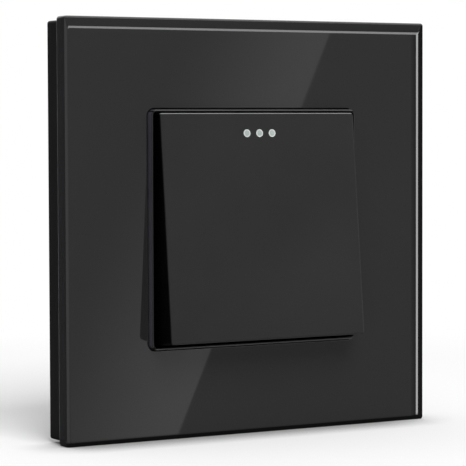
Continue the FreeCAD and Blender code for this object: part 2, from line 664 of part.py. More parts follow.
def common_terminal():
    right = COMMON_X + STRIP_W / 2
    body = block(-BRACKET_TO, right, STRIP_FRONT, FLOOR_Y, -STRIP_W / 2, STRIP_W / 2)
    body = body.fuse(block(right - STRIP_W, right, STRIP_FRONT, FLOOR_Y, 0, PILLAR_FROM))
    seat_r = LEVER_PIN_R + LEVER_PIN_CLEAR
    top = lever_axis_y() - LEVER_PIN_R / 2
    for x0 in (-BRACKET_TO, BRACKET_FROM):
        x1 = x0 + BRACKET_T
        ear = block(x0, x1, top, STRIP_FRONT + LAP, -BRACKET_HALF_Z, BRACKET_HALF_Z)
        ear = ear.cut(rod_x(lever_axis_y(), 0, seat_r, x0 - PAST, x1 + PAST))
        ear = ear.cut(block(x0 - PAST, x1 + PAST, top - PAST, lever_axis_y(), -seat_r, seat_r))
        body = body.fuse(ear)
    return [body.removeSplitter()]


def terminal_pillars():
    pillars = []
    y0 = FLOOR_Y - PILLAR_L
    for x, side in terminal_places():
        span = sorted((side * PILLAR_FROM, side * PILLAR_TO))
        body = block(x - PILLAR_W / 2, x + PILLAR_W / 2, y0, FLOOR_Y, span[0], span[1])
        body = body.cut(rod_y(x, side * WIRE_Z, WIRE_R, y0 + WIRE_BLIND, FLOOR_Y + PAST))
        thread = sorted((side * WIRE_Z, side * (PILLAR_TO + PAST)))
        thread_r = TERMINAL_SCREW_R + THREAD_CLEAR
        pillars.append(body.cut(rod_z(x, TERMINAL_SCREW_Y, thread_r, thread[0], thread[1])))
    return pillars


def terminal_screws():
    screws = []
    y = TERMINAL_SCREW_Y
    for x, side in terminal_places():
        tip = WIRE_Z + WIRE_R + TERMINAL_TIP_GAP
        head_top = HOUSING / 2 - TERMINAL_HEAD_DEPTH
        head_low = head_top - TERMINAL_HEAD_T
        body = rod_z(x, y, TERMINAL_SCREW_R, tip, head_low + LAP)
        head = rod_z(x, y, TERMINAL_HEAD_R, head_low, head_top)
        r = TERMINAL_HEAD_R
        half_w = SCREW_SLOT_W / 2
        slot = block(x - r, x + r, y - half_w, y + half_w, head_top - SCREW_SLOT_D, head_top + PAST)
        screw = body.fuse(head.cut(slot)).removeSplitter()
        screws.append(screw if side > 0 else mirrored_z(screw))
    return screws


def fixed_contacts():
    rivets = []
    for z in (-CONTACT_Z, CONTACT_Z):
        head = rod_y(0, z, FIXED_HEAD_R, FIXED_FACE, STRIP_FRONT)
        rivets.append(head.fuse(rod_y(0, z, FIXED_SHANK_R, STRIP_FRONT - LAP, FLOOR_Y)).removeSplitter())
    return rivets


def contact_lever():
    y = lever_axis_y()
    half_t = LEVER_T / 2
    half_l = CONTACT_Z + LEVER_END
    pin = BRACKET_TO + LEVER_PIN_PROUD
    body = block(-LEVER_W / 2, LEVER_W / 2, y - half_t, y + half_t, -half_l, half_l)
    body = body.fuse(rod_x(y, 0, LEVER_PIN_R, -pin, pin))
    for z in (-CONTACT_Z, CONTACT_Z):
        body = body.cut(rod_y(0, z, MOVING_SHANK_R, y - LEVER_T, y + LEVER_T))
    front = block(-LEVER_W / 2, LEVER_W / 2, y - LEVER_T, y - half_t, -LEVER_PIN_R, LEVER_PIN_R)
    return [turned(body.cut(front), y, LEVER_TILT)]


def moving_contacts():
    rivets = []
    y = lever_axis_y()
    back = y + LEVER_T / 2
    front = y - LEVER_T / 2
    r = dome_radius()
    for z in (-CONTACT_Z, CONTACT_Z):
        rim = back + MOVING_HEAD_T
        top = rim + MOVING_DOME
        ball = Part.makeSphere(r, V(0, top - r, z))
        dome = ball.common(rod_y(0, z, MOVING_HEAD_R, back, top + PAST))
        rivet = dome.fuse(rod_y(0, z, MOVING_SHANK_R, front - LAP, back + LAP))
        rivet = rivet.fuse(rod_y(0, z, MOVING_CLINCH_R, front - MOVING_CLINCH_T, front))
        rivets.append(turned(rivet.removeSplitter(), y, LEVER_TILT))
    return rivets


NODES = {
    "glass_panel": glass_panel,
    "panel_tape": panel_tape,
    "panel_frame": panel_frame,
    "mounting_plate": mounting_plate,
    "rocker_collar": rocker_collar,
    "collar_screws": collar_screws,
    "rocker_cap": rocker_cap,
    "indicator_insert": indicator_insert,
    "rocker_carrier": rocker_carrier,
    "plunger": plunger,
    "plunger_spring": plunger_spring,
    "mechanism_cover": mechanism_cover,
    "mechanism_housing": mechanism_housing,
    "housing_screws": housing_screws,
    "switched_terminal_1": switched_terminal_1,
    "switched_terminal_2": switched_terminal_2,
    "common_terminal": common_terminal,
    "terminal_pillars": terminal_pillars,
    "terminal_screws": terminal_screws,
    "fixed_contacts": fixed_contacts,
    "contact_lever": contact_lever,
    "moving_contacts": moving_contacts,
}

os.makedirs("parts", exist_ok=True)
for name, make in NODES.items():
    save(name, make())

print("lever axis y:", round(lever_axis_y(), 3))
print("plunger reach:", round(plunger_reach(), 3))
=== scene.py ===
import json
import math

import bmesh
import bpy
from mathutils import Matrix, Vector


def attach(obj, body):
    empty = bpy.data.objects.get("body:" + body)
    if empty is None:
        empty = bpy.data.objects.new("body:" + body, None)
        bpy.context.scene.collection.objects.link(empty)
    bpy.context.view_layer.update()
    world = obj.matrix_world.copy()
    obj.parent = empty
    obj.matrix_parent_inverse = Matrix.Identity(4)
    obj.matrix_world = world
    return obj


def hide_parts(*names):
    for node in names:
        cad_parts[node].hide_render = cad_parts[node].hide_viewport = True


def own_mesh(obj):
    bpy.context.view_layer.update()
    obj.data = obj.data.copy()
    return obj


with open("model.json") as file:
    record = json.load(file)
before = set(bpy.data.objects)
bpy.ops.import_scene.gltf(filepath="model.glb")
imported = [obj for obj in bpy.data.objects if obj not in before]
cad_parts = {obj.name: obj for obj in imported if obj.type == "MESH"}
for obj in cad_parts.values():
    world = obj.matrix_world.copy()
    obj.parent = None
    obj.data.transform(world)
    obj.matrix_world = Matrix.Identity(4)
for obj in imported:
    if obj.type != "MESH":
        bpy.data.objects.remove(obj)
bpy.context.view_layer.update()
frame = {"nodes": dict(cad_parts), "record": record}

MM = 0.001

# Lengths are millimetres and angles degrees, unless a comment says otherwise. Pairs are the places
# where a change starts and where it is complete.

# Camera, fitted to the outline of the glass and its frame
CAM_AT = (-237.36, -414.02, 21.69)
CAM_YAW = 29.8927
CAM_PITCH = -2.7963
CAM_ROLL = -0.1971
CAM_LENS = 174.473
CAM_SENSOR = 36.0

# Glass front. Its outer sizes are the solid's.
PANEL_HALF = 43.0
FACE_Y = -9.5               # flat face
GLASS_BACK_Y = -5.5
BEVEL_TOP = 2.2             # widths of the bevels
BEVEL_RIGHT = 1.72
BEVEL_LEFT = 0.55
BEVEL_BOTTOM = 0.8
BEVEL_DROP = 0.35           # how far each bevel falls back at the edge
JOINT_TOP_R = 3.6           # rounding between the face and each bevel
JOINT_RIGHT_R = 4.2
JOINT_LEFT_R = 0.6
JOINT_BOTTOM_R = 0.8
JOINT_STEPS = 8
OUTER_ARRIS = 0.2           # rounding of the outer edge, in front and behind
BACK_ARRIS = 0.35
PANEL_CORNER = 0.6          # corners seen from the front, and those of the bevels' inner line
BEVEL_CORNER = 0.3
HOLE_HALF = 24.65
HOLE_CORNER = 1.45
HOLE_ARRIS = 0.15
CORNER_STEPS = 10

# Where the glass changes colour: the ground edge, painted highlights along the upper edge and the
# back edge, and painted shade on the bevels
GROUND_EDGE = (0.30, 0.10)  # in from the outline
GROUND_EDGE_Y = (0.5, 0.8)  # behind the face
# Painted highlight along the upper arris: how far in from the outline, and behind the face
TOP_ARRIS_HIGHLIGHT = (0.42, 0.32)
TOP_ARRIS_Y = (0.5, 0.6)
# Painted highlight along the back arris, partly the paler look of its ground edge
BACK_EDGE_HIGHLIGHT = (0.40, 0.30)
BACK_LINE_Y = (0.42, 0.30)  # in front of the back
BEVEL_SHADE_BLEND = 0.15          # half of the blend of the painted shade at the upper bevel's inner line
RIGHT_SHADE_BLEND = (1.8, 0.65)   # painted shade: the face darkens this far before the right bevel
# blend of the painted shade on the lower bevel
BELOW_SHADE_BLEND = 0.1

# Rocker and its dots
PIVOT_Y = -9.4              # the rocker's axis
REST_TILT = math.radians(5.5)   # radians
ROCKER_REACH = 4.8          # face in front of the axis
ROCKER_HALF = 23.2
ROCKER_RISE = 23.45         # half of its height
ROCKER_EDGE = (0.35, 0.42)  # behind the face, where the dark sides begin: partly a polished finish, partly painted shade
ROCKER_LEFT_SHADE = (0.12, 0.24)  # in from the left edge, which painted shade darkens
ROCKER_TOP_HIGHLIGHT = (0.34, 0.26)     # in from the upper edge: a painted highlight line,
ROCKER_TOP_SHADE = (0.17, 0.12)  # and the painted shade above it
ROCKER_BOTTOM_HIGHLIGHT = (0.16, 0.06)     # fainter painted highlight lines in from the lower and right edges
ROCKER_RIGHT_HIGHLIGHT = (0.40, 0.28)
DOT_PITCH_HALF = 1.5
DOT_Z = 19.52               # the dots' height at rest
DOT_RING = (0.50, 0.66)     # from each dot's middle

# Collar
COLLAR_FRONT = -10.8
COLLAR_HALF = 24.4
COLLAR_LIT_WALL_Y = (0.12, 0.24)    # outer wall, paler with painted light, behind the rim
COLLAR_LIT_WALL_OUT = (0.25, 0.15)  # and in from the outline
# where the rim ends and the painted shade inside the collar begins
COLLAR_INNER_SHADE = (0.28, 0.22)
COLLAR_HIGHLIGHT_BAND = (0.7, 0.4)   # the rim's parts above and below, which carry a painted highlight

# Marks of the mould on the housing
PARTING_Y = 8.0
PARTING_W = (0.03, 0.11)
HOUSING_BACK = (15.7, 15.9)
EJECTOR_R = 1.5
EJECTOR_W = (0.04, 0.15)
EJECTOR_X = 18.0
EJECTOR_Z = 8.5             # half of the distance between the upper and lower marks
EJECTOR_LOW = 6.0           # how far their middle is below the axis

# Plunger spring, measured from the rocker's axis along the plunger
SPRING_R = 1.5              # middle of the wire
SPRING_WIRE_R = 0.2
SPRING_FROM = 1.05          # middle of the first and last turn
SPRING_TO = 6.75
SPRING_TURNS = 6
SPRING_CLOSED = 0.9         # turns at each end that lie against the next
SPRING_OPENING = 0.4        # turns over which they open
SPRING_PACKED = 0.42        # pitch of the closed turns
SPRING_STEPS = 24           # per turn
SPRING_SIDES = 10           # round the wire

# Floor and room
FLOOR_Z = -43.0
FLOOR_HALF = 4000.0
FLOOR_GLOW = 0.135
FLOOR_FADE = (110.0, 240.0)     # from the middle, where the floor becomes the white background
CONTACT_REACH = 11.0        # how far the painted contact shadow round the foot of the object spreads
CONTACT_POWER = 1.5
CONTACT_Y = (-12.0, 0.0)
CONTACT_X = (30.0, 48.0)
CONTACT_RIGHT = 0.25        # its share to the right of the object
SHADE_REACH = 80.0          # the softer shade behind the object
SHADE_POWER = 1.4
SHADE_Y = (-20.0, 5.0)
MIRRORED_FLOOR = (4.0, 8.0)     # round the object's foot, where reflections still show the floor, painted dark for them
AO_SAMPLES = 10
AMBIENT_FRONT = 0.30        # the room's light from the camera's side
AMBIENT_BACK = 0.60         # and from behind the object
KEY_AT = (-170, -1140, 1180)
KEY_SIZE = 900
KEY_WATTS = 23.0

# The window that the glass mirrors: a slanted edge, and the fade away from it
WINDOW_Y = -1500.0
WINDOW_X = 400.0
WINDOW_Z = (-700.0, 300.0)
WINDOW_EDGE_X = 793.08      # the edge's place at WINDOW_EDGE_Z, and its slope
WINDOW_EDGE_Z = -271.9
WINDOW_SLOPE = 0.4462
WINDOW_FADE = 178.0
WINDOW_LOW = (-270.0, 0.62)     # height and strength
WINDOW_HIGH = (120.0, 0.52)

# Cards that only reflections show, as directions from the glass: azimuths from -Y towards +X,
# elevations, distance and strength
CARDS = {
    "strip_above": (18, 42, 4.2, 15.8, 1800, 5.2),
    "strip_high": (0, 60, 38, 50, 1600, 3.0),
    "strip_right": (38.4, 53, -14, 8, 1800, 8.3),
    "flag_dip": (35.9, 38.3, -14, 4.2, 1700, 0.02),
    "flag_right": (54, 85, -20, 20, 1500, 0.10),
    "strip_left": (-75, -20, -14, 14, 1500, 0.70),
}


def rgb(r, g, b):
    return (r, g, b, 1.0)


WHITE = rgb(1.0, 1.0, 1.0)


class Tree:
    """Short calls for building the nodes of one material or world."""

    def __init__(self, name, world=False):
        self.owner = (bpy.data.worlds if world else bpy.data.materials).new(name)
        self.owner.use_nodes = True
        self.tree = self.owner.node_tree
        self.tree.nodes.clear()

    def add(self, kind, **values):
        node = self.tree.nodes.new(kind)
        for key, value in values.items():
            setattr(node, key, value)
        return node

    def put(self, value, socket):
        """Links a socket or sets a plain value. None leaves the socket as it is."""
        if isinstance(value, bpy.types.NodeSocket):
            self.tree.links.new(value, socket)
        elif value is not None:
            socket.default_value = value

    def joined(self, kind, values, **settings):
        """A new node with these values in its first inputs, and its first output."""
        node = self.add(kind, **settings)
        for value, socket in zip(values, node.inputs):
            self.put(value, socket)
        return node.outputs[0]

    def math(self, op, *values):
        return self.joined("ShaderNodeMath", values, operation=op)

    def times(self, a, b):
        return self.math("MULTIPLY", a, b)

    def plus(self, a, b):
        return self.math("ADD", a, b)

    def minus(self, a, b):
        return self.math("SUBTRACT", a, b)

    def larger(self, a, b):
        return self.math("MAXIMUM", a, b)

    def size(self, a):
        return self.math("ABSOLUTE", a)

    def distance(self, a, b):
        """Length of the step (a, b)."""
        return self.math("SQRT", self.plus(self.times(a, a), self.times(b, b)))

    def coords(self):
        return self.add("ShaderNodeTexCoord").outputs["Object"]

    def split(self, vector):
        node = self.add("ShaderNodeSeparateXYZ")
        self.put(vector, node.inputs[0])
        return node.outputs

    def scaled(self, vector, factors):
        return self.joined("ShaderNodeVectorMath", (vector, factors), operation="MULTIPLY")

    def noise(self, vector, scale, detail=4.0, rough=0.55, distort=0.0):
        node = self.add("ShaderNodeTexNoise")
        self.put(vector, node.inputs["Vector"])
        self.put(scale, node.inputs["Scale"])
        self.put(detail, node.inputs["Detail"])
        self.put(rough, node.inputs["Roughness"])
        self.put(distort, node.inputs["Distortion"])
        return node.outputs["Fac"]

    def remap(self, value, lo, hi, to_lo, to_hi, smooth=False):
        kind = "SMOOTHSTEP" if smooth else "LINEAR"
        return self.joined("ShaderNodeMapRange", (value, lo, hi, to_lo, to_hi),
                           clamp=True, interpolation_type=kind)

    def rise(self, value, start, end, smooth=False):
        """0 up to start and 1 from end on."""
        return self.remap(value, start * MM, end * MM, 0.0, 1.0, smooth)

    def fall(self, value, start, end, smooth=False):
        """1 up to start and 0 from end on."""
        return self.remap(value, start * MM, end * MM, 1.0, 0.0, smooth)

    def spread(self, noise, to_lo, to_hi, lo=0.3, hi=0.7):
        """A noise's middle range stretched over other values."""
        return self.remap(noise, lo, hi, to_lo, to_hi)

    def mix(self, fac, a, b):
        node = self.add("ShaderNodeMix", data_type="RGBA")
        self.put(fac, node.inputs[0])
        self.put(a, node.inputs[6])
        self.put(b, node.inputs[7])
        return node.outputs[2]

    def tinted(self, where, colour, spread, scale):
        """A colour that wanders a little lighter and darker over the surface."""
        darker = tuple(c * (1 - spread) for c in colour[:3]) + (1.0,)
        lighter = tuple(c * (1 + spread) for c in colour[:3]) + (1.0,)
        return self.mix(self.spread(self.noise(where, scale), 0.0, 1.0), darker, lighter)

    def bump(self, height, distance, strength=1.0, normal=None):
        node = self.add("ShaderNodeBump")
        self.put(strength, node.inputs["Strength"])
        self.put(distance, node.inputs["Distance"])
        self.put(height, node.inputs["Height"])
        self.put(normal, node.inputs["Normal"])
        return node.outputs[0]

    def occlusion(self, reach):
        node = self.add("ShaderNodeAmbientOcclusion", samples=AO_SAMPLES)
        self.put(reach * MM, node.inputs["Distance"])
        return node.outputs["AO"]

    def emission(self, strength):
        return self.joined("ShaderNodeEmission", (WHITE, strength))

    def clear(self):
        return self.add("ShaderNodeBsdfTransparent").outputs[0]

    def both(self, a, b):
        return self.joined("ShaderNodeAddShader", (a, b))

    def either(self, fac, a, b):
        return self.joined("ShaderNodeMixShader", (fac, a, b))

    def finish(self, surface):
        world = isinstance(self.owner, bpy.types.World)
        output = self.add("ShaderNodeOutputWorld" if world else "ShaderNodeOutputMaterial")
        self.put(surface, output.inputs["Surface"])
        return self.owner

    def principled(self, **values):
        node = self.add("ShaderNodeBsdfPrincipled")
        for key, value in values.items():
            self.put(value, node.inputs[key.replace("_", " ")])
        return self.finish(node.outputs[0])


def glass_material():
    """Glass with a black coat behind and darker ground edges. Painted shade darkens the upper, right
    and lower bevels, and painted highlights run along the upper arris and the back edge.
    """
    t = Tree("panel_glass")
    p = t.coords()
    x, y, z = t.split(p)
    out = t.larger(t.size(x), t.size(z))
    ground = t.times(t.rise(out, *(PANEL_HALF - d for d in GROUND_EDGE)),
                     t.rise(y, *(FACE_Y + d for d in GROUND_EDGE_Y)))
    # Painted highlight: a light line along the upper arris.
    top_arris_highlight = t.times(t.rise(z, *(PANEL_HALF - d for d in TOP_ARRIS_HIGHLIGHT)),
                       t.fall(y, *(FACE_Y + d for d in TOP_ARRIS_Y)))
    # Painted highlight along the back arris, partly the paler look of its ground edge.
    back_edge_highlight = t.times(t.rise(out, *(PANEL_HALF - d for d in BACK_EDGE_HIGHLIGHT)),
                        t.rise(y, *(GLASS_BACK_Y - d for d in BACK_LINE_Y)))

    # Painted shade: the upper, right and lower bevels, and the face just before the right bevel,
    # take a darker colour.
    bend = PANEL_HALF - BEVEL_TOP
    up_share = t.rise(z, bend, PANEL_HALF)
    left_share = t.rise(x, BEVEL_LEFT - PANEL_HALF, -PANEL_HALF)
    mitre = t.remap(t.minus(up_share, left_share), -0.05, 0.05, 0.0, 1.0)
    above = t.times(t.rise(z, bend - BEVEL_SHADE_BLEND, bend + BEVEL_SHADE_BLEND), mitre)
    right = t.rise(x, *(PANEL_HALF - BEVEL_RIGHT - d for d in RIGHT_SHADE_BLEND))
    below = t.rise(z, BEVEL_BOTTOM - PANEL_HALF + BELOW_SHADE_BLEND, BEVEL_BOTTOM - PANEL_HALF)
    bevel = t.larger(t.larger(above, right), below)

    coat = t.tinted(p, rgb(0.0158, 0.0158, 0.0160), 0.03, 40.0)
    coat = t.mix(bevel, coat, rgb(0.0040, 0.0040, 0.0042))
    coat = t.mix(ground, coat, rgb(0.0100, 0.0102, 0.0122))
    coat = t.mix(top_arris_highlight, coat, rgb(0.080, 0.080, 0.082))
    coat = t.mix(back_edge_highlight, coat, rgb(0.100, 0.104, 0.114))
    smear = t.noise(t.scaled(p, (1.0, 1.0, 0.45)), 55.0, 6.0, 0.6, 0.4)
    rough = t.spread(smear, 0.010, 0.026, 0.35, 0.75)
    return t.principled(
        Base_Color=coat,
        Roughness=t.plus(rough, t.times(ground, 0.22)),
        IOR=1.5,
        Normal=t.bump(t.noise(p, 14.0, 2.0), 0.00001, 0.3))


def plastic_material(name, colour, rough, grain, depth, spread=0.12, ior=1.5):
    """Moulded plastic: spark-eroded grain, flow marks in its gloss, slight colour drift."""
    t = Tree(name)
    p = t.coords()
    fine = t.noise(p, grain, 3.0, 0.6)
    flow = t.noise(t.scaled(p, (1.0, 0.6, 0.5)), 70.0, 5.0, 0.55, 0.6)
    return t.principled(
        Base_Color=t.tinted(p, colour, spread, 90.0),
        Roughness=t.spread(flow, rough - 0.05, rough + 0.05),
        IOR=ior,
        Normal=t.bump(fine, depth))


def rocker_material():
    """Matt black face with painted highlights along its upper, lower and right edges. The sides are
    darker than the face: partly a polished finish, partly painted shade, which also darkens the
    face's left edge and the band above its upper line.
    """
    t = Tree("rocker_plastic")
    p = t.coords()
    x, y, z = t.split(p)
    cos, sin = math.cos(REST_TILT), math.sin(REST_TILT)
    into = t.minus(t.times(y, cos), t.times(z, sin))
    run = t.plus(t.times(z, cos), t.times(t.minus(y, PIVOT_Y * MM), sin))
    plane = PIVOT_Y * cos - ROCKER_REACH
    face = t.fall(into, *(plane + d for d in ROCKER_EDGE))
    # Painted shade: the face's left edge and the band above its upper line take the dark side
    # colour.
    face = t.times(face, t.rise(x, *(d - ROCKER_HALF for d in ROCKER_LEFT_SHADE)))
    face = t.times(face, t.fall(run, *(ROCKER_RISE - d for d in ROCKER_TOP_SHADE)))
    # Painted highlights: a light line in from the upper edge, fainter ones in from the lower and
    # right edges.
    upper = t.rise(run, *(ROCKER_RISE - d for d in ROCKER_TOP_HIGHLIGHT))
    lower = t.rise(run, *(d - ROCKER_RISE for d in ROCKER_BOTTOM_HIGHLIGHT))
    far_side = t.rise(x, *(ROCKER_HALF - d for d in ROCKER_RIGHT_HIGHLIGHT))
    plain = t.tinted(p, rgb(0.0145, 0.0145, 0.0147), 0.04, 120.0)
    plain = t.mix(far_side, plain, rgb(0.030, 0.030, 0.031))
    plain = t.mix(lower, plain, rgb(0.045, 0.045, 0.046))
    plain = t.mix(upper, plain, rgb(0.230, 0.230, 0.234))
    cloud = t.noise(p, 60.0, 5.0, 0.55, 0.4)
    worn = t.noise(p, 45.0, 3.0, 0.5)
    return t.principled(
        Base_Color=t.mix(face, rgb(0.0008, 0.0008, 0.0009), plain),
        Roughness=t.plus(t.spread(cloud, 0.42, 0.48), t.spread(worn, 0.0, 0.03, 0.4, 0.7)),
        IOR=1.2,
        Normal=t.bump(t.noise(p, 5200.0, 2.0, 0.6), 0.000012, 0.6))


def collar_material():
    """Black satin plastic. Painted light makes its outer wall paler, painted highlights lie on the
    upper and lower rim, and painted shade darkens the inside.
    """
    t = Tree("collar_plastic")
    p = t.coords()
    x, y, z = t.split(p)
    out = t.larger(t.size(x), t.size(z))
    # Painted light: the outer wall is paler than the rim.
    wall = t.times(t.rise(y, *(COLLAR_FRONT + d for d in COLLAR_LIT_WALL_Y)),
                   t.rise(out, *(COLLAR_HALF - d for d in COLLAR_LIT_WALL_OUT)))
    rim = t.rise(out, *(COLLAR_HALF - d for d in COLLAR_INNER_SHADE))
    # Painted highlight on the upper and lower rim; the left and right rim keep the plain colour.
    level = t.rise(t.size(z), *(COLLAR_HALF - d for d in COLLAR_HIGHLIGHT_BAND))
    pale = t.mix(level, rgb(0.0220, 0.0218, 0.0240), rgb(0.0720, 0.0715, 0.0750))
    # Painted shade: inside the rim the collar is nearly black.
    colour = t.mix(rim, rgb(0.0010, 0.0010, 0.0011), pale)
    colour = t.mix(wall, colour, t.tinted(p, rgb(0.0660, 0.0645, 0.0760), 0.10, 220.0))
    flow = t.noise(t.scaled(p, (1.0, 0.6, 0.5)), 70.0, 5.0, 0.55, 0.6)
    return t.principled(
        Base_Color=colour,
        Roughness=t.spread(flow, 0.34, 0.44),
        IOR=1.22,
        Normal=t.bump(t.noise(p, 3000.0, 3.0, 0.6), 0.000003))


def housing_material():
    """Moulded nylon: fine grain, a parting line round the sides and four ejector marks behind."""
    t = Tree("housing_nylon")
    p = t.coords()
    x, y, z = t.split(p)
    line = t.fall(t.size(t.minus(y, PARTING_Y * MM)), *PARTING_W)
    dx = t.minus(t.size(x), EJECTOR_X * MM)
    dz = t.minus(t.size(t.plus(z, EJECTOR_LOW * MM)), EJECTOR_Z * MM)
    ring = t.fall(t.size(t.minus(t.distance(dx, dz), EJECTOR_R * MM)), *EJECTOR_W)
    marks = t.larger(line, t.times(ring, t.rise(y, *HOUSING_BACK)))
    colour = t.tinted(p, rgb(0.66, 0.66, 0.63), 0.03, 90.0)
    sunk = t.bump(t.minus(1.0, marks), 0.00006, 0.8)
    flow = t.noise(t.scaled(p, (1.0, 0.5, 0.5)), 60.0, 5.0, 0.55, 0.6)
    return t.principled(
        Base_Color=t.mix(t.times(marks, 0.35), colour, rgb(0.40, 0.40, 0.38)),
        Roughness=t.spread(flow, 0.40, 0.52),
        IOR=1.5,
        Normal=t.bump(t.noise(p, 1500.0, 3.0, 0.6), 0.000018, 1.0, sunk))


def metal_material(name, colour, rough, stretch, depth, spread=0.07, blotch=260.0, streak=0.06):
    """Sheet or turned metal: drawn streaks along the least stretched axis, blotches in its gloss."""
    t = Tree(name)
    p = t.coords()
    lines = t.noise(t.scaled(p, stretch), 900.0, 3.0, 0.6)
    cloud = t.noise(p, blotch, 4.0, 0.6)
    return t.principled(
        Base_Color=t.tinted(p, colour, spread, blotch),
        Metallic=1.0,
        Roughness=t.plus(t.spread(lines, rough - streak, rough + streak),
                         t.spread(cloud, 0.0, 0.06, 0.35, 0.7)),
        Normal=t.bump(lines, depth))


def foam_material():
    t = Tree("tape_foam")
    p = t.coords()
    cells = t.add("ShaderNodeTexVoronoi")
    t.put(p, cells.inputs["Vector"])
    t.put(3800.0, cells.inputs["Scale"])
    return t.principled(
        Base_Color=t.tinted(p, rgb(0.012, 0.012, 0.013), 0.25, 900.0),
        Roughness=t.spread(t.noise(p, 600.0), 0.82, 0.95),
        Normal=t.bump(cells.outputs["Distance"], 0.00008))


def indicator_material():
    """Pale translucent plastic, a little darker in the middle of each dot."""
    t = Tree("indicator_plastic")
    p = t.coords()
    x, y, z = t.split(p)
    half = DOT_PITCH_HALF * MM
    dx = t.minus(half, t.math("PINGPONG", t.plus(x, half), half))
    ring = t.rise(t.distance(dx, t.minus(z, DOT_Z * MM)), *DOT_RING, smooth=True)
    colour = t.mix(ring, rgb(0.280, 0.325, 0.315), rgb(0.500, 0.545, 0.520))
    tone = t.add("ShaderNodeVectorMath", operation="SCALE")
    t.put(colour, tone.inputs[0])
    t.put(t.spread(t.noise(p, 2600.0, 3.0), 0.93, 1.05, 0.35, 0.7), tone.inputs["Scale"])
    return t.principled(
        Base_Color=tone.outputs[0],
        Roughness=t.spread(t.noise(p, 800.0), 0.28, 0.40),
        Normal=t.bump(t.noise(p, 3000.0), 0.00001))


EVEN = (1.0, 1.0, 1.0)
MATERIALS = {
    "panel_glass": glass_material(),
    "tape_foam": foam_material(),
    "frame_plastic": plastic_material("frame_plastic", rgb(0.0030, 0.0030, 0.0034), 0.42,
                                      2600.0, 0.000012, ior=1.27),
    "plate_steel": metal_material("plate_steel", rgb(0.56, 0.57, 0.58), 0.40,
                                  (0.012, 1.0, 1.0), 0.0000025, 0.04, 620.0, 0.03),
    "collar_plastic": collar_material(),
    "screw_steel": metal_material("screw_steel", rgb(0.62, 0.62, 0.63), 0.30,
                                  (1.0, 0.04, 1.0), 0.000003),
    "rocker_plastic": rocker_material(),
    "indicator_plastic": indicator_material(),
    "carrier_nylon": plastic_material("carrier_nylon", rgb(0.70, 0.69, 0.64), 0.48,
                                      1800.0, 0.000015, 0.03),
    "plunger_acetal": plastic_material("plunger_acetal", rgb(0.80, 0.80, 0.77), 0.30,
                                       2200.0, 0.000004, 0.02),
    "spring_steel": metal_material("spring_steel", rgb(0.50, 0.50, 0.51), 0.26, EVEN, 0.000002),
    "housing_nylon": housing_material(),
    "terminal_brass": metal_material("terminal_brass", rgb(0.72, 0.55, 0.27), 0.28,
                                     (0.05, 1.0, 1.0), 0.000003),
    "contact_silver": metal_material("contact_silver", rgb(0.80, 0.80, 0.78), 0.22, EVEN,
                                     0.000002),
}


def dress_nodes():
    slots = {row["node"]: row["material_slot"] for row in frame["record"]["subparts"]}
    for name, obj in frame["nodes"].items():
        obj.data.materials.clear()
        obj.data.materials.append(MATERIALS[slots[name]])


def add_object(name, mesh, material):
    obj = bpy.data.objects.new(name, mesh)
    bpy.context.scene.collection.objects.link(obj)
    obj.data.materials.append(material)
    return obj


def mesh_of(name, bm):
    bmesh.ops.recalc_face_normals(bm, faces=bm.faces)
    mesh = bpy.data.meshes.new(name)
    bm.to_mesh(mesh)
    bm.free()
    return mesh


def rounded_loop(places, radius):
    """Points of a rounded rectangle, counter-clockwise seen from the front.

    places holds (how far out, depth) for the right, upper, left and lower side. Where the depths
    differ, the corners pass from one to the next.
    """
    points = []
    for k, (sx, sz) in enumerate(((1, 1), (-1, 1), (-1, -1), (1, -1))):
        here, after = places[k], places[(k + 1) % 4]
        side, end = (here, after) if k % 2 == 0 else (after, here)
        for i in range(CORNER_STEPS + 1):
            part = i / CORNER_STEPS
            a = math.pi / 2 * (k + part)
            y = here[1] + (after[1] - here[1]) * part
            x = sx * (side[0] - radius) + radius * math.cos(a)
            z = sz * (end[0] - radius) + radius * math.sin(a)
            points.append(Vector((x, y, z)) * MM)
    return points


def loft(name, loops):
    """Mesh of a closed ring-shaped solid through loops with the same number of points."""
    bm = bmesh.new()
    rings = [[bm.verts.new(p) for p in loop] for loop in loops]
    for ring, after in zip(rings, rings[1:] + rings[:1]):
        for i in range(len(ring)):
            k = (i + 1) % len(ring)
            bm.faces.new((ring[i], ring[k], after[k], after[i])).smooth = True
    return mesh_of(name, bm)


def bevel_side(width, joint_r):
    """(how far out, depth) of one side's points, from the flat face over the bevel to the back."""
    slope = math.atan2(BEVEL_DROP, width)
    bend = PANEL_HALF - width
    start = bend - joint_r * math.tan(slope / 2)
    points = []
    for i in range(JOINT_STEPS + 1):
        a = slope * i / JOINT_STEPS
        points.append((start + joint_r * math.sin(a), FACE_Y + joint_r * (1 - math.cos(a))))
    out = PANEL_HALF - OUTER_ARRIS
    deep = FACE_Y + math.tan(slope) * (out - bend) + OUTER_ARRIS / math.cos(slope)
    for i in range(7):
        a = slope + (math.pi / 2 - slope) * i / 6
        points.append((out + OUTER_ARRIS * math.sin(a), deep - OUTER_ARRIS * math.cos(a)))
    for i in range(4):
        a = math.pi / 2 * i / 3
        points.append((PANEL_HALF - BACK_ARRIS * (1 - math.cos(a)),
                       GLASS_BACK_Y - BACK_ARRIS * (1 - math.sin(a))))
    return points


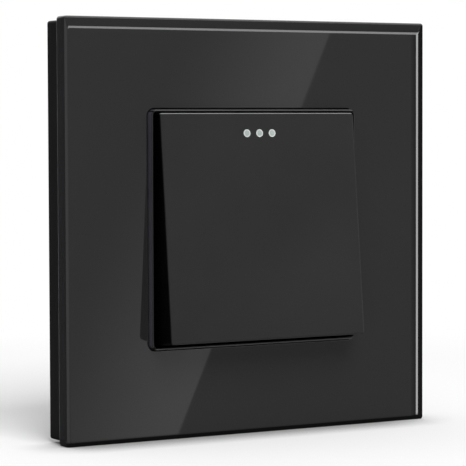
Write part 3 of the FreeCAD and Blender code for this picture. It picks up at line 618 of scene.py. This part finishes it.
def make_glass():
    loops = [rounded_loop([(HOLE_HALF, GLASS_BACK_Y)] * 4, HOLE_CORNER)]
    for i in range(5):
        a = math.pi / 2 * i / 4
        place = (HOLE_HALF + HOLE_ARRIS * (1 - math.cos(a)),
                 FACE_Y + HOLE_ARRIS * (1 - math.sin(a)))
        loops.append(rounded_loop([place] * 4, HOLE_CORNER + place[0] - HOLE_HALF))
    right = bevel_side(BEVEL_RIGHT, JOINT_RIGHT_R)
    top = bevel_side(BEVEL_TOP, JOINT_TOP_R)
    left = bevel_side(BEVEL_LEFT, JOINT_LEFT_R)
    bottom = bevel_side(BEVEL_BOTTOM, JOINT_BOTTOM_R)
    for i, places in enumerate(zip(right, top, left, bottom)):
        inside = PANEL_HALF - min(PANEL_HALF, places[0][0])
        radius = BEVEL_CORNER if i <= JOINT_STEPS else PANEL_CORNER - inside
        loops.append(rounded_loop(places, radius))
    obj = add_object("glass_front", loft("glass_front", loops), MATERIALS["panel_glass"])
    keep = obj.modifiers.new("weighted", "WEIGHTED_NORMAL")
    keep.mode = "FACE_AREA"
    keep.weight = 80
    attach(obj, "housing")
    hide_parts("glass_panel")


def spring_path():
    """Height along the axis at each step: closely wound ends, open turns between them."""
    total = SPRING_TURNS * SPRING_STEPS
    open_share = []
    for i in range(total):
        from_end = min(i + 0.5, total - i - 0.5) / SPRING_STEPS - SPRING_CLOSED
        part = max(0.0, min(1.0, from_end / SPRING_OPENING))
        open_share.append(part * part * (3 - 2 * part))
    length = SPRING_TO - SPRING_FROM
    extra = (length - SPRING_PACKED * SPRING_TURNS) * SPRING_STEPS / sum(open_share)
    heights = [SPRING_FROM]
    for share in open_share:
        heights.append(heights[-1] + (SPRING_PACKED + extra * share) / SPRING_STEPS)
    return heights


def make_spring():
    heights = spring_path()
    turn = Matrix.Rotation(-REST_TILT, 3, "X")
    pivot = Vector((0, PIVOT_Y, 0))
    step = SPRING_R * 4 * math.pi / SPRING_STEPS
    bm = bmesh.new()
    rings = []
    for i, height in enumerate(heights):
        a = 2 * math.pi * i / SPRING_STEPS
        before, after = heights[max(i - 1, 0)], heights[min(i + 1, len(heights) - 1)]
        out = Vector((math.cos(a), 0, math.sin(a)))
        along = Vector((-math.sin(a) * step, after - before, math.cos(a) * step)).normalized()
        across = along.cross(out)
        ring = []
        for k in range(SPRING_SIDES):
            b = 2 * math.pi * k / SPRING_SIDES
            p = Vector((0, height, 0)) + out * (SPRING_R + SPRING_WIRE_R * math.cos(b)) \
                + across * SPRING_WIRE_R * math.sin(b)
            ring.append(bm.verts.new((pivot + turn @ p) * MM))
        rings.append(ring)
    for ring, after in zip(rings, rings[1:]):
        for k in range(SPRING_SIDES):
            m = (k + 1) % SPRING_SIDES
            bm.faces.new((ring[k], ring[m], after[m], after[k])).smooth = True
    bm.faces.new(list(reversed(rings[0])))
    bm.faces.new(rings[-1])
    obj = add_object("spring_coil", mesh_of("spring_coil", bm), MATERIALS["spring_steel"])
    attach(obj, "rocker")
    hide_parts("plunger_spring")
    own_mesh(obj)


def make_camera():
    yaw, pitch, roll = (math.radians(a) for a in (CAM_YAW, CAM_PITCH, CAM_ROLL))
    forward = Vector((math.sin(yaw) * math.cos(pitch), math.cos(yaw) * math.cos(pitch),
                      math.sin(pitch)))
    right = Vector((math.cos(yaw), -math.sin(yaw), 0))
    up = right.cross(forward)
    side = right * math.cos(roll) + up * math.sin(roll)
    top = up * math.cos(roll) - right * math.sin(roll)
    turn = Matrix((side, top, -forward)).transposed().to_4x4()
    data = bpy.data.cameras.new("camera")
    data.sensor_fit = "HORIZONTAL"
    data.sensor_width = CAM_SENSOR
    data.lens = CAM_LENS
    data.clip_start = 0.01
    data.clip_end = 100.0
    cam = bpy.data.objects.new("camera", data)
    bpy.context.scene.collection.objects.link(cam)
    cam.matrix_world = Matrix.Translation(Vector(CAM_AT) * MM) @ turn
    bpy.context.scene.camera = cam


def plane(name, corners, material):
    """A flat piece of the studio."""
    mesh = bpy.data.meshes.new(name)
    mesh.from_pydata([Vector(c) * MM for c in corners], [], [list(range(len(corners)))])
    obj = add_object(name, mesh, material)
    return obj


def floor_material():
    """Pale floor with the object's shade, which becomes the white background farther out."""
    t = Tree("floor")
    rays = t.add("ShaderNodeLightPath").outputs
    seen = t.larger(rays["Is Camera Ray"], rays["Is Transmission Ray"])
    p = t.coords()
    x, y, z = t.split(p)
    far = t.add("ShaderNodeVectorMath", operation="LENGTH")
    t.put(p, far.inputs[0])
    fade = t.rise(far.outputs["Value"], *FLOOR_FADE, smooth=True)
    shade = t.math("POWER", t.occlusion(SHADE_REACH), t.times(t.rise(y, *SHADE_Y), SHADE_POWER))
    beside = t.remap(x, CONTACT_X[0] * MM, CONTACT_X[1] * MM, 1.0, CONTACT_RIGHT)
    front = t.times(t.fall(y, *CONTACT_Y), beside)
    # Painted contact shadow: occlusion darkens the floor's colour and glow round the object's foot.
    contact = t.math("POWER", t.occlusion(CONTACT_REACH), t.times(front, CONTACT_POWER))
    pale = t.mix(t.noise(p, 30.0), rgb(0.88, 0.88, 0.88), rgb(0.90, 0.90, 0.90))
    shaded = t.mix(contact, rgb(0.0, 0.0, 0.0), pale)
    # Painted reflection: reflections see the floor painted dark, not its pale colour.
    diffuse = t.joined("ShaderNodeBsdfDiffuse",
                       (t.mix(rays["Is Glossy Ray"], shaded, rgb(0.08, 0.08, 0.08)),))
    glow = t.emission(t.times(t.times(seen, t.times(FLOOR_GLOW, shade)), contact))
    surface = t.either(t.times(fade, seen), t.both(diffuse, glow), t.emission(1.0))
    # Reflections look past the floor to the room, except close to the object, where they see the
    # floor painted dark.
    ax = t.minus(t.size(x), PANEL_HALF * MM)
    ay = t.minus(t.size(t.minus(y, 0.5 * FACE_Y * MM)), -0.5 * FACE_Y * MM)
    off = t.rise(t.larger(ax, ay), *MIRRORED_FLOOR)
    return t.finish(t.either(t.times(rays["Is Glossy Ray"], off), surface, t.clear()))


def make_world():
    """White background. Reflections show the white backdrop behind, a dim room in front with a
    lighter ceiling and a pale floor, and a dark left side."""
    t = Tree("studio", world=True)
    rays = t.add("ShaderNodeLightPath").outputs
    x, y, z = t.split(t.add("ShaderNodeTexCoord").outputs["Generated"])
    wall = t.remap(z, 0.27, 0.32, 0.34, 0.58, smooth=True)
    ceiling = t.remap(z, 0.45, 0.8, 0.34, 1.0, smooth=True)
    floor = t.remap(z, -0.32, -0.22, 0.9, 0.34, smooth=True)
    backdrop = t.remap(y, -0.25, 0.35, 0.0, 1.0, smooth=True)
    room = t.larger(t.larger(t.larger(wall, ceiling), floor), backdrop)
    left = t.remap(x, -0.30, -0.02, 0.06, 1.0, smooth=True)
    beside = t.remap(y, -0.80, -0.45, 0.0, 1.0, smooth=True)
    dim = t.minus(1.0, t.times(beside, t.minus(1.0, left)))
    mirrored = t.times(rays["Is Glossy Ray"], t.times(room, dim))
    seen = t.larger(rays["Is Camera Ray"], rays["Is Transmission Ray"])
    ambient = t.remap(y, -0.3, 0.4, AMBIENT_FRONT, AMBIENT_BACK, smooth=True)
    level = t.larger(t.larger(seen, mirrored), t.times(rays["Is Diffuse Ray"], ambient))
    bpy.context.scene.world = t.finish(t.joined("ShaderNodeBackground", (WHITE, level)))


def make_key():
    """The one lamp: large, high and to the left in front. Reflections show the cards, not it."""
    data = bpy.data.lights.new("key", "AREA")
    data.shape = "RECTANGLE"
    data.size = KEY_SIZE * MM
    data.size_y = KEY_SIZE * MM
    data.energy = KEY_WATTS
    obj = bpy.data.objects.new("key", data)
    obj.location = Vector(KEY_AT) * MM
    obj.rotation_mode = "QUATERNION"
    obj.rotation_quaternion = (-Vector(KEY_AT)).to_track_quat("-Z", "Y")
    obj.visible_glossy = False
    bpy.context.scene.collection.objects.link(obj)


def card(name, corners, material):
    """A studio piece that only reflections show."""
    obj = plane(name, corners, material)
    obj.visible_camera = False
    obj.visible_diffuse = False
    obj.visible_transmission = False
    obj.visible_shadow = False
    obj.visible_volume_scatter = False


def facing_card(name, az0, az1, el0, el1, distance, strength):
    """A card that covers a range of directions seen from the glass."""
    corners = []
    for az, el in ((az0, el0), (az1, el0), (az1, el1), (az0, el1)):
        a, e = math.radians(az), math.radians(el)
        corners.append((distance * math.sin(a) * math.cos(e),
                        -distance * math.cos(a) * math.cos(e), distance * math.sin(e)))
    t = Tree(name)
    card(name, corners, t.finish(t.emission(strength)))


def window_edge(z):
    return WINDOW_EDGE_X + WINDOW_SLOPE * (z - WINDOW_EDGE_Z)


def make_window():
    """The paler slanted area that the glass mirrors, fading away from its edge."""
    t = Tree("window")
    x, y, z = t.split(t.coords())
    edge = t.math("MULTIPLY_ADD", z, WINDOW_SLOPE, window_edge(0) * MM)
    fade = t.fall(t.minus(edge, x), 0.0, WINDOW_FADE, smooth=True)
    strength = t.remap(z, WINDOW_LOW[0] * MM, WINDOW_HIGH[0] * MM, WINDOW_LOW[1], WINDOW_HIGH[1])
    material = t.finish(t.both(t.emission(t.times(fade, strength)), t.clear()))
    low, high = WINDOW_Z
    card("window_card", [(WINDOW_X, WINDOW_Y, low), (window_edge(low), WINDOW_Y, low),
                         (window_edge(high), WINDOW_Y, high), (WINDOW_X, WINDOW_Y, high)], material)


def make_floor():
    h = FLOOR_HALF
    plane("floor", [(-h, -h, FLOOR_Z), (h, -h, FLOOR_Z), (h, h, FLOOR_Z), (-h, h, FLOOR_Z)],
          floor_material())


dress_nodes()
make_glass()
make_spring()
make_floor()
make_world()
make_key()
make_window()
for card_name, place in CARDS.items():
    facing_card(card_name, *place)
make_camera()
bpy.context.scene.view_settings.view_transform = "Standard"
